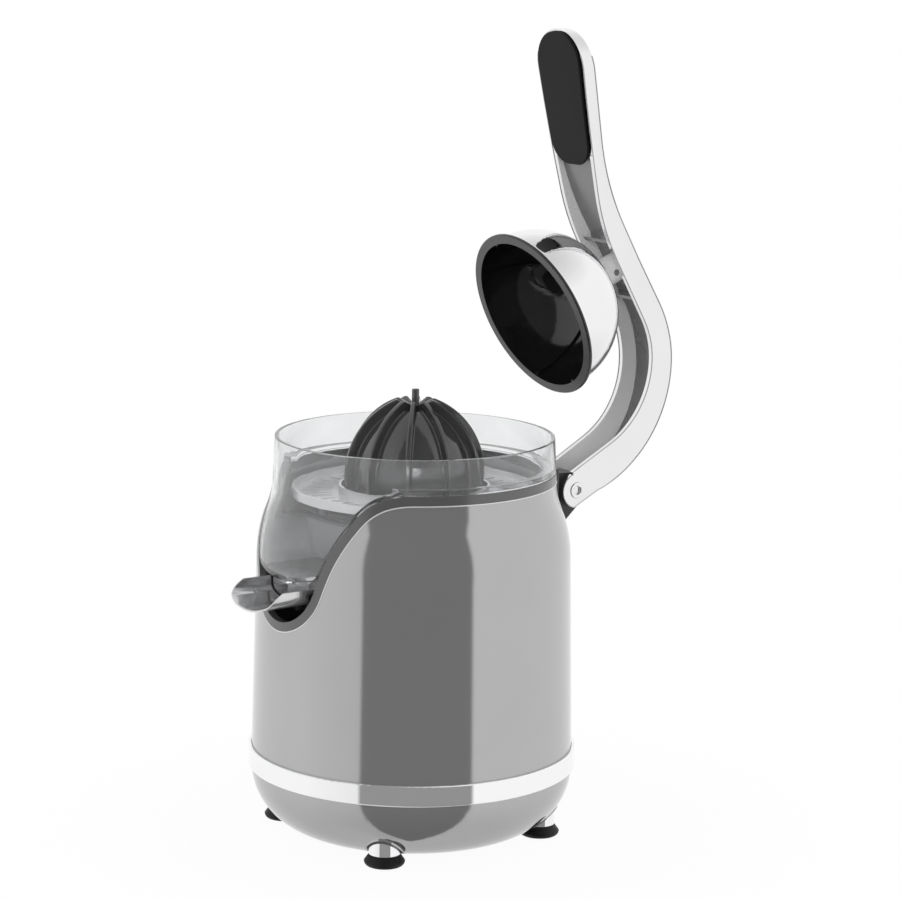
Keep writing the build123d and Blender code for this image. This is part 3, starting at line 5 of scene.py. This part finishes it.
import bmesh
import bpy
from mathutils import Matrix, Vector


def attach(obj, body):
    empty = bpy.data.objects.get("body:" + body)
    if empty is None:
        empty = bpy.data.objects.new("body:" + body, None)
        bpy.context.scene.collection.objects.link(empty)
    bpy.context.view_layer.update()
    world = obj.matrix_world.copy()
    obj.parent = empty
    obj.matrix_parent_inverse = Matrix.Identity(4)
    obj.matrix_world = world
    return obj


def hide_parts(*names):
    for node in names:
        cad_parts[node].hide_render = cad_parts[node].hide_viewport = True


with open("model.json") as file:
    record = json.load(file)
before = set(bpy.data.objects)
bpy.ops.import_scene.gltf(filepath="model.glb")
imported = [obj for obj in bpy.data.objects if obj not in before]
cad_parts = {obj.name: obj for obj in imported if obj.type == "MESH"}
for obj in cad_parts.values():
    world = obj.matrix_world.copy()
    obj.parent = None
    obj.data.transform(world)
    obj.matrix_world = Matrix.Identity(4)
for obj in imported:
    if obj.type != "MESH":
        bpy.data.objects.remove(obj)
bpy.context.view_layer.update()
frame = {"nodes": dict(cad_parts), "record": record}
nodes = frame["nodes"]


class Wire:
    # a socket that can be used in sums
    def __init__(self, tree, socket):
        self.tree = tree
        self.socket = socket

    def combine(self, operation, first, second):
        made = self.tree.nodes.new("ShaderNodeMath")
        made.operation = operation
        for slot, value in zip(made.inputs, (first, second)):
            if isinstance(value, Wire):
                self.tree.links.new(value.socket, slot)
            else:
                slot.default_value = value
        return Wire(self.tree, made.outputs[0])

    def __add__(self, other):
        return self.combine("ADD", self, other)

    def __radd__(self, other):
        return self.combine("ADD", other, self)

    def __sub__(self, other):
        return self.combine("SUBTRACT", self, other)

    def __rsub__(self, other):
        return self.combine("SUBTRACT", other, self)

    def __mul__(self, other):
        return self.combine("MULTIPLY", self, other)

    def __rmul__(self, other):
        return self.combine("MULTIPLY", other, self)

    def __gt__(self, other):
        return self.combine("GREATER_THAN", self, other)

    def __lt__(self, other):
        return self.combine("LESS_THAN", self, other)

    def above(self, other):
        return self.combine("MAXIMUM", self, other)


class Look:
    # one material, or the world, and the nodes in it
    def __init__(self, holder):
        self.holder = holder
        holder.use_nodes = True
        self.tree = holder.node_tree

    def add(self, kind, settings=None, **sockets):
        # sockets go by name, or by number as _0, _1
        made = self.tree.nodes.new(kind)
        for key, value in (settings or {}).items():
            setattr(made, key, value)
        for key, value in sockets.items():
            numbered = key[0] == "_"
            self.feed(made.inputs[int(key[1:]) if numbered else key.replace("_", " ")], value)
        return made

    def feed(self, slot, value):
        if isinstance(value, Wire):
            self.tree.links.new(value.socket, slot)
        else:
            slot.default_value = value

    def out(self, made, name=0):
        return Wire(self.tree, made.outputs[name])

    def place(self):
        return self.out(self.add("ShaderNodeTexCoord"), "Object")

    def noise(self, scale, detail=3.0):
        made = self.add("ShaderNodeTexNoise", Vector=self.place(), Scale=scale, Detail=detail)
        return self.out(made, "Fac")

    def tint(self, low, high, factor):
        made = self.add("ShaderNodeMix", {"data_type": "RGBA"}, Factor=factor, _6=low, _7=high)
        return self.out(made, 2)  # the Mix node's colours go by number

    def spread(self, value, start, end, low=0.0, high=1.0):
        made = self.add(
            "ShaderNodeMapRange", {"clamp": True}, Value=value,
            From_Min=start, From_Max=end, To_Min=low, To_Max=high)
        return self.out(made)

    def vector(self, operation, *values, result="Vector"):
        sockets = {"_" + str(number): value for number, value in enumerate(values)}
        return self.out(self.add("ShaderNodeVectorMath", {"operation": operation}, **sockets), result)

    def bump(self, height, strength, distance):
        return self.out(self.add("ShaderNodeBump", Height=height, Strength=strength, Distance=distance))

    def surface(self, **sockets):
        shader = self.tree.nodes["Principled BSDF"]
        for key, value in sockets.items():
            self.feed(shader.inputs[key.replace("_", " ")], value)


neutral = (1, 1, 1.01)  # grey with a trace of blue


def shade(tone, hue=neutral):
    return tuple(min(1, tone * part) for part in hue) + (1,)


def newLook(name):
    return Look(bpy.data.materials.new(name))


# one row for each finish: tone, metal, roughness from and to, noise scale of the grain, depth of its
# bump in metres; shine is the specular level, and hue tints the tone
finishes = {
    "greyPaint": dict(tone=0.46, metal=0.8, rough=(0.06, 0.1), grain=700, bump=0.000008),
    # painted highlight: a paler copy of the grey paint, worn by the bead on the shell's cut edge
    "shellEdgeHighlight": dict(tone=0.8, metal=0.3, rough=(0.1, 0.16), grain=700, bump=0.000008),
    "bandChrome": dict(tone=0.94, metal=0.85, rough=(0.03, 0.06), grain=60, bump=0.0),
    "cupChrome": dict(tone=0.88, metal=1.0, rough=(0.02, 0.05), grain=60, bump=0.0),
    "leverAlloy": dict(tone=0.82, metal=1.0, rough=(0.08, 0.14), grain=90, bump=0.00001),
    # painted shade: a darker copy of the lever alloy, worn by the bead along the lever's side edges
    "leverEdgeShadeLine": dict(tone=0.62, metal=1.0, rough=(0.1, 0.16), grain=90, bump=0.00001),
    # painted light: a pale, barely metallic copy of the cast finish for the channel's inward cheeks
    "leverCheekPaintedLight": dict(tone=0.95, metal=0.2, rough=(0.2, 0.34), grain=60, bump=0.000006),
    "leverCast": dict(tone=0.24, metal=0.6, rough=(0.2, 0.36), grain=60, bump=0.00001),
    # painted light: the alloy post is given a near-white, non-metal tone that stands in for the bright
    # reflection it shows in the shaded channel
    "postPaintedLight": dict(tone=0.96, metal=0.0, rough=(0.15, 0.22), grain=60, bump=0.000006, shine=0.8),
    "edgeStrip": dict(tone=0.085, metal=0.0, rough=(0.16, 0.24), grain=1200, bump=0.00002, shine=0.9),
    "glossBlack": dict(tone=0.008, metal=0.0, rough=(0.07, 0.12), grain=150, bump=0.00001, shine=0.7),
    "reamerBlack": dict(tone=0.045, metal=0.0, rough=(0.08, 0.14), grain=150, bump=0.00001, shine=0.9),
    "deckGrey": dict(tone=0.6, metal=0.0, rough=(0.2, 0.3), grain=600, bump=0.00001),
    # painted reflection: a paler, satin copy of the gloss black for the liner's flat rim
    "cupRimPaintedReflection": dict(tone=0.06, metal=0.0, rough=(0.22, 0.3), grain=900, bump=0.00001),
    "bracketBlack": dict(tone=0.045, metal=0.0, rough=(0.26, 0.34), grain=900, bump=0.00002, shine=0.35),
    "gripRubber": dict(tone=0.008, metal=0.0, rough=(0.45, 0.58), grain=1800, bump=0.00004, shine=0.18),
    "strainerSteel": dict(tone=0.8, metal=0.6, rough=(0.16, 0.26), grain=250, bump=0.00001),
    "spoutSteel": dict(tone=0.68, metal=0.8, rough=(0.08, 0.16), grain=120, bump=0.00001),
    "footRubber": dict(tone=0.008, metal=0.0, rough=(0.45, 0.6), grain=900, bump=0.00003, shine=0.3),
    "sealRubber": dict(tone=0.012, metal=0.0, rough=(0.5, 0.6), grain=900, bump=0.00003, shine=0.3),
    "coverPlastic": dict(tone=0.04, metal=0.0, rough=(0.4, 0.5), grain=1400, bump=0.00004),
    "gearNylon": dict(tone=0.66, metal=0.0, rough=(0.38, 0.48), grain=500, bump=0.00001),
    "gearboxPlastic": dict(tone=0.06, metal=0.0, rough=(0.38, 0.48), grain=900, bump=0.00003),
    "plainSteel": dict(tone=0.5, metal=1.0, rough=(0.2, 0.32), grain=300, bump=0.00001),
    "zincScrews": dict(tone=0.48, metal=1.0, rough=(0.24, 0.36), grain=400, bump=0.00001),
    "motorSteel": dict(tone=0.36, metal=0.8, rough=(0.3, 0.42), grain=400, bump=0.00001),
    "bushBronze": dict(
        tone=0.4, metal=1.0, rough=(0.3, 0.42), grain=700, bump=0.00001, hue=(1.3, 0.95, 0.45)),
    "coilCopper": dict(
        tone=0.4, metal=1.0, rough=(0.25, 0.4), grain=300, bump=0.00001, hue=(1.4, 0.7, 0.4)),
    "washerAcetal": dict(tone=0.75, metal=0.0, rough=(0.35, 0.45), grain=400, bump=0.00001),
}

# what all the finishes share: broad patches under the fine grain
mottle = dict(
    broadScale=18, broadDetail=2, broadShare=0.6, fineShare=0.4, lowTone=0.95, highTone=1.05,
    shine=0.5, bumpStrength=0.4)


def makeFinish(name, row):
    look = newLook(name)
    fine = look.noise(row["grain"])
    broad = look.noise(mottle["broadScale"], mottle["broadDetail"])
    patches = fine * mottle["fineShare"] + broad * mottle["broadShare"]
    hue = row.get("hue", neutral)
    low = shade(row["tone"] * mottle["lowTone"], hue)
    high = shade(row["tone"] * mottle["highTone"], hue)
    lowRough, highRough = row["rough"]
    look.surface(
        Base_Color=look.tint(low, high, patches),
        Roughness=patches * (highRough - lowRough) + lowRough,
        Metallic=row["metal"],
        Specular_IOR_Level=row.get("shine", mottle["shine"]),
    )
    if row["bump"]:
        look.surface(Normal=look.bump(fine, mottle["bumpStrength"], row["bump"]))
    return look.holder


looks = {name: makeFinish(name, row) for name, row in finishes.items()}

# the bowl's clear plastic, faintly smudged
bowlPlastic = dict(
    low=(0.9, 0.91, 0.92, 1), high=(0.93, 0.935, 0.94, 1), smudgeScale=35, rough=0.01, smudgeRough=0.02,
    clearness=0.95, bending=1.45)
clear = newLook("clearPlastic")
smudge = clear.noise(bowlPlastic["smudgeScale"])
clear.surface(
    Base_Color=clear.tint(bowlPlastic["low"], bowlPlastic["high"], smudge),
    Roughness=smudge * bowlPlastic["smudgeRough"] + bowlPlastic["rough"],
    Transmission_Weight=bowlPlastic["clearness"], IOR=bowlPlastic["bending"])
looks["clearPlastic"] = clear.holder

# which pieces wear each finish
wears = {
    "greyPaint": ["base_pan", "body_shell"],
    "bandChrome": ["trim_band", "foot_collars"],
    "cupChrome": ["cup_shell", "cup_stem"],
    "postPaintedLight": ["cup_post"],
    "leverAlloy": ["lever_arm", "hinge_bolt", "hinge_nut"],
    "edgeStrip": ["edge_trim"],
    "glossBlack": ["inner_deck", "cup_liner", "spout_yoke"],
    "reamerBlack": ["reamer"],
    "bracketBlack": ["hinge_bracket"],
    "gripRubber": ["grip_pad"],
    "clearPlastic": ["juice_bowl"],
    "strainerSteel": ["strainer"],
    "spoutSteel": ["spout_trough"],
    "footRubber": ["suction_feet"],
    "sealRubber": ["spout_seal", "spindle_seal", "cord_gland"],
    "coverPlastic": ["bottom_cover", "microswitch", "switch_plunger"],
    "gearNylon": ["output_gear", "idler_gear", "cooling_fan"],
    "gearboxPlastic": ["gearbox_case", "gearbox_cover"],
    "plainSteel": [
        "drive_spindle", "motor_shaft", "motor_pinion", "idler_axle", "cup_pivot_pin", "spout_pins",
        "hinge_backplate", "return_spring", "motor_bearings"],
    "zincScrews": [
        "cover_screws", "foot_screws", "bracket_screws", "gearbox_screws", "motor_screws", "cup_screw"],
    "motorSteel": ["motor_can", "motor_cap", "stator_core", "motor_rotor"],
    "bushBronze": ["hub_bush", "spindle_bush", "hinge_bushes"],
    "coilCopper": ["stator_windings"],
    "washerAcetal": ["hinge_washers"],
}


def coat(mesh, finish):
    mesh.materials.clear()
    mesh.materials.append(looks[finish])


def addFinish(mesh, finish):
    mesh.materials.append(looks[finish])
    return len(mesh.materials) - 1


for finish, names in wears.items():
    for name in names:
        coat(nodes[name].data, finish)
print("finishes:", len(looks))

bodies = frame["record"]["behaviour"]["bodies"]
bodyOf = {name: body for body, names in bodies.items() for name in names}


def pick(piece):
    bpy.ops.object.select_all(action="DESELECT")
    piece.select_set(True)
    bpy.context.view_layer.objects.active = piece


def standFor(piece, name):
    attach(piece, bodyOf[name])
    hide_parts(name)


# rounded edges on the pieces that show: the round's width in metres, where 0 leaves a plain copy.
# The free pieces keep their full width where edges lie close. flat and sharp are degrees
eased = dict(
    widths={
        "lever_arm": 0.0, "grip_pad": 0.0008, "reamer": 0.0008, "hinge_bracket": 0.0009,
        "cup_post": 0.0005, "cup_shell": 0.0003, "cup_liner": 0.0005, "cup_stem": 0.0003,
        "juice_bowl": 0.0005, "strainer": 0.0003, "spout_trough": 0.0003, "spout_yoke": 0.0006,
        "edge_trim": 0.0004, "inner_deck": 0.0005, "suction_feet": 0.0004, "foot_collars": 0.0005,
        "hinge_bolt": 0.0004, "hinge_nut": 0.0004, "cord_gland": 0.0009, "bottom_cover": 0.0004},
    free=("reamer", "juice_bowl", "edge_trim"), weld=0.000002, flat=0.3, sharp=38.0, segments=3)


def easeEdges(name, width):
    piece = bpy.data.objects.new("eased_" + name, nodes[name].data.copy())
    bpy.context.scene.collection.objects.link(piece)
    standFor(piece, name)
    if width == 0:
        return piece
    pick(piece)
    bpy.ops.mesh.customdata_custom_splitnormals_clear()
    bpy.ops.object.mode_set(mode="EDIT")
    bpy.ops.mesh.select_all(action="SELECT")
    bpy.ops.mesh.remove_doubles(threshold=eased["weld"])
    bpy.ops.mesh.dissolve_limited(angle_limit=math.radians(eased["flat"]))
    bpy.ops.object.mode_set(mode="OBJECT")
    ease = piece.modifiers.new("ease", "BEVEL")
    ease.width = width
    ease.segments = eased["segments"]
    ease.limit_method = "ANGLE"
    ease.use_clamp_overlap = name not in eased["free"]
    ease.angle_limit = math.radians(eased["sharp"])
    bpy.ops.object.modifier_apply(modifier="ease")
    bpy.ops.object.shade_smooth_by_angle(angle=math.radians(eased["sharp"]))
    even = piece.modifiers.new("even", "WEIGHTED_NORMAL")
    even.keep_sharp = True
    bpy.ops.object.modifier_apply(modifier="even")
    return piece


dressed = {name: easeEdges(name, width) for name, width in eased["widths"].items()}
print("rounded edges:", len(dressed), "pieces")

# the lever's channel is left as cast, and its inward-facing cheeks take a much paler, less metallic
# copy, painted light where the channel's walls shade each other: the arm's half widths at its heights,
# the channel's end and bend, its lean above the bend in degrees, and how far a face turns inward or
# forward to belong to it
channel = dict(
    widths=[
        (0.18, 0.014), (0.214, 0.014), (0.285, 0.017), (0.34, 0.017), (0.457, 0.0228), (0.48, 0.0228)],
    wall=0.0029, top=0.413, hinge=(0.111, 0.199), bendCentre=(0.11, 0.2745), bendTop=0.302, lean=30.0,
    inward=0.3, forward=0.2)


def halfWidth(z):
    for (lowZ, lowHalf), (highZ, highHalf) in zip(channel["widths"], channel["widths"][1:]):
        if z <= highZ:
            return lowHalf + (highHalf - lowHalf) * (z - lowZ) / (highZ - lowZ)
    return channel["widths"][-1][1]


arm = dressed["lever_arm"].data
castSlot = addFinish(arm, "leverCast")
litCheekSlot = addFinish(arm, "leverCheekPaintedLight")
lean = math.radians(channel["lean"])
for face in arm.polygons:
    x, y, z = face.center
    if abs(x) >= halfWidth(z) - channel["wall"] or z >= channel["top"]:
        continue
    if z > channel["bendTop"]:
        forward = Vector((0, -math.cos(lean), -math.sin(lean)))
    else:
        forward = Vector((0, channel["bendCentre"][0] - y, channel["bendCentre"][1] - z)).normalized()
    # inward-facing cheek faces take the pale copy: painted light
    if face.normal.x * x < -channel["inward"] * abs(x):
        face.material_index = litCheekSlot
    elif face.normal.dot(forward) > channel["forward"]:
        face.material_index = castSlot

# rounded bead along a piece's outer edges, drawn from the edges themselves, which carries a painted
# line:
# a pale painted highlight on the shell's cut edge and a darker painted shade line on the lever's sides.
# The shell's starts above band in front and neck behind, and the lever's stays clear of the hinge's bore
bead = dict(
    radius=0.0004, rounding=2, sharp=38.0, neck=0.19, band=0.12, outward=0.7, bore=0.008, sideways=0.9)


def beadEdges(name, wanted, finish):
    line = bpy.data.objects.new(name + "_bead", nodes[name].data.copy())
    bpy.context.scene.collection.objects.link(line)
    pick(line)
    bpy.ops.object.mode_set(mode="EDIT")
    bpy.ops.mesh.select_all(action="SELECT")
    bpy.ops.mesh.remove_doubles(threshold=eased["weld"])
    solid = bmesh.from_edit_mesh(line.data)
    spare = []
    for side in solid.edges:
        middle = (side.verts[0].co + side.verts[1].co) / 2
        sharp = side.calc_face_angle(0) > math.radians(bead["sharp"])
        if not sharp or not wanted(middle, [face.normal for face in side.link_faces]):
            spare.append(side)
    bmesh.ops.delete(solid, geom=spare, context="EDGES")
    bmesh.update_edit_mesh(line.data)
    bpy.ops.object.mode_set(mode="OBJECT")
    bpy.ops.object.convert(target="CURVE")
    line.data.bevel_depth = bead["radius"]
    line.data.bevel_resolution = bead["rounding"]
    bpy.ops.object.convert(target="MESH")
    coat(line.data, finish)
    bpy.ops.object.shade_smooth()
    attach(line, bodyOf[name])
    print("bead:", name, len(line.data.polygons), "faces")


def onShellEdge(middle, normals):
    outward = Vector((middle.x, middle.y, 0)).normalized()
    low = middle.y > 0 and middle.z < bead["neck"] or middle.z < bead["band"]
    return not low and any(normal.dot(outward) > bead["outward"] for normal in normals)


def onLeverEdge(middle, normals):
    outer = abs(middle.x) > halfWidth(middle.z) - channel["wall"] / 2
    hinge = Vector((middle.y - channel["hinge"][0], middle.z - channel["hinge"][1]))
    sideways = any(abs(normal.x) > bead["sideways"] for normal in normals)
    return outer and hinge.length > bead["bore"] and sideways


# the shell's bead is a pale painted highlight along its cut edge
beadEdges("body_shell", onShellEdge, "shellEdgeHighlight")
# the lever's bead is a dark painted shade line along its side edges
beadEdges("lever_arm", onLeverEdge, "leverEdgeShadeLine")

# the liner's flat rim is satin, and painted a paler grey than the gloss black as a painted reflection
rim = dict(turn=68.0, depth=0.001, facing=0.9)
liner = dressed["cup_liner"].data
rimSlot = addFinish(liner, "cupRimPaintedReflection")
rimTurn = math.radians(rim["turn"])
mouth = Vector((0, -math.sin(rimTurn), -math.cos(rimTurn)))
foremost = max(vertex.co.dot(mouth) for vertex in liner.vertices)
for face in liner.polygons:
    if face.normal.dot(mouth) > rim["facing"] and face.center.dot(mouth) > foremost - rim["depth"]:
        face.material_index = rimSlot

# the deck is grey under the bowl and black in the spout's niche
nicheTop = dict(z=0.1655, back=-0.03)
deck = dressed["inner_deck"].data
greySlot = addFinish(deck, "deckGrey")
pick(dressed["inner_deck"])
bpy.ops.object.mode_set(mode="EDIT")
for spot, normal in (((0, 0, nicheTop["z"]), (0, 0, 1)), ((0, nicheTop["back"], 0), (0, 1, 0))):
    bpy.ops.mesh.select_all(action="SELECT")
    bpy.ops.mesh.bisect(plane_co=spot, plane_no=normal)
bpy.ops.object.mode_set(mode="OBJECT")
for face in deck.polygons:
    if face.center.z > nicheTop["z"] or face.center.y > nicheTop["back"]:
        face.material_index = greySlot
print("lever, liner and deck finished")

# white studio with a dim gap behind the camera
studio = dict(
    white=1.0, dim=0.2, gapCentre=-30.5, gapHalf=40.0, gapSoft=0.015, leftFall=0.2, leftFrom=0.05,
    ceiling=0.7, ceilingFrom=0.55, ceilingTo=0.95, low=0.8, lowFrom=-0.8, lowTo=-0.25)
world = bpy.data.worlds.new("studio")
bpy.context.scene.world = world
room = Look(world)
direction = room.out(room.add("ShaderNodeTexCoord"), "Generated")
turnAngle = math.radians(studio["gapCentre"])
toGap = (math.cos(turnAngle), math.sin(turnAngle), 0)
toSide = (-math.sin(turnAngle), math.cos(turnAngle), 0)
level = room.vector("NORMALIZE", room.vector("MULTIPLY", direction, (1, 1, 0)))
facing = room.vector("DOT_PRODUCT", level, toGap, result="Value")
side = room.vector("DOT_PRODUCT", level, toSide, result="Value")
edge = math.cos(math.radians(studio["gapHalf"]))
gap = room.spread(facing, edge - studio["gapSoft"], edge + studio["gapSoft"])
height = room.out(room.add("ShaderNodeSeparateXYZ", Vector=direction), "Z")
upper = room.spread(height, studio["ceilingFrom"], studio["ceilingTo"], 1.0, studio["ceiling"])
lower = room.spread(height, studio["lowFrom"], studio["lowTo"], studio["low"], 1.0)
fall = 1 - (side < 0.0) * (facing - studio["leftFrom"]).above(0.0) * studio["leftFall"]
bright = (1 - gap) * fall * studio["white"] + gap * studio["dim"]
bright = bright * upper * lower
rays = room.add("ShaderNodeLightPath")
seen = room.out(rays, "Is Camera Ray").above(room.out(rays, "Is Transmission Ray"))
strength = bright * (1 - seen) + seen
room.feed(room.tree.nodes["Background"].inputs["Color"], (1, 1, 1, 1))
room.feed(room.tree.nodes["Background"].inputs["Strength"], strength)

# small pale floor that fades into the white round it
ground = dict(
    radius=0.34, sides=96, centreY=0.02, drop=0.0004, tone=0.9, rough=0.6, white=0.95, fadeFrom=0.14,
    fadeTo=0.3)
bpy.ops.object.select_all(action="DESELECT")
bpy.ops.mesh.primitive_circle_add(
    vertices=ground["sides"], radius=ground["radius"], fill_type="NGON",
    location=(0, ground["centreY"], -ground["drop"]))
floor = bpy.context.object
floor.name = "floor"
floorLook = newLook("floorWhite")
floorLook.surface(Base_Color=shade(ground["tone"]), Roughness=ground["rough"])
glow = floorLook.out(floorLook.add("ShaderNodeEmission", Color=(1, 1, 1, 1), Strength=1.0))
through = floorLook.out(floorLook.add("ShaderNodeBsdfTransparent"))
painted = floorLook.out(floorLook.tree.nodes["Principled BSDF"])
away = floorLook.vector("LENGTH", floorLook.place(), result="Value")
fade = floorLook.spread(away, ground["fadeFrom"], ground["fadeTo"], ground["white"], 1.0)
paths = floorLook.add("ShaderNodeLightPath")
shown = floorLook.out(paths, "Is Camera Ray").above(floorLook.out(paths, "Is Transmission Ray"))
mirrored = floorLook.out(paths, "Is Glossy Ray")
seenWhite = floorLook.out(floorLook.add("ShaderNodeMixShader", _0=shown * fade, _1=painted, _2=glow))
finished = floorLook.out(floorLook.add("ShaderNodeMixShader", _0=mirrored, _1=seenWhite, _2=through))
floorLook.feed(floorLook.tree.nodes["Material Output"].inputs[0], finished)
floor.data.materials.append(floorLook.holder)

# soft fill beside the camera, left out of reflections
fill = dict(place=(1.25, -0.95, 0.75), aim=(0.0, 0.05, 0.25), size=1.0, power=11.0)
bpy.ops.object.light_add(type="AREA", location=fill["place"])
lamp = bpy.context.object
lamp.data.shape = "DISK"
lamp.data.size = fill["size"]
lamp.data.energy = fill["power"]
lamp.rotation_euler = (Vector(fill["aim"]) - Vector(fill["place"])).to_track_quat("-Z", "Y").to_euler()
lamp.visible_glossy = False

# three-quarter view from the front right, turned in degrees
view = dict(place=(1.5314, -1.0326, 0.575), turn=(79.499, -0.757, 55.5), lens=126.08, sensor=36)
bpy.ops.object.camera_add(location=view["place"], rotation=[math.radians(v) for v in view["turn"]])
camera = bpy.context.object
camera.data.sensor_width = view["sensor"]
camera.data.lens = view["lens"]
bpy.context.scene.camera = camera
bpy.context.scene.view_settings.view_transform = "Standard"
print("studio and camera set")
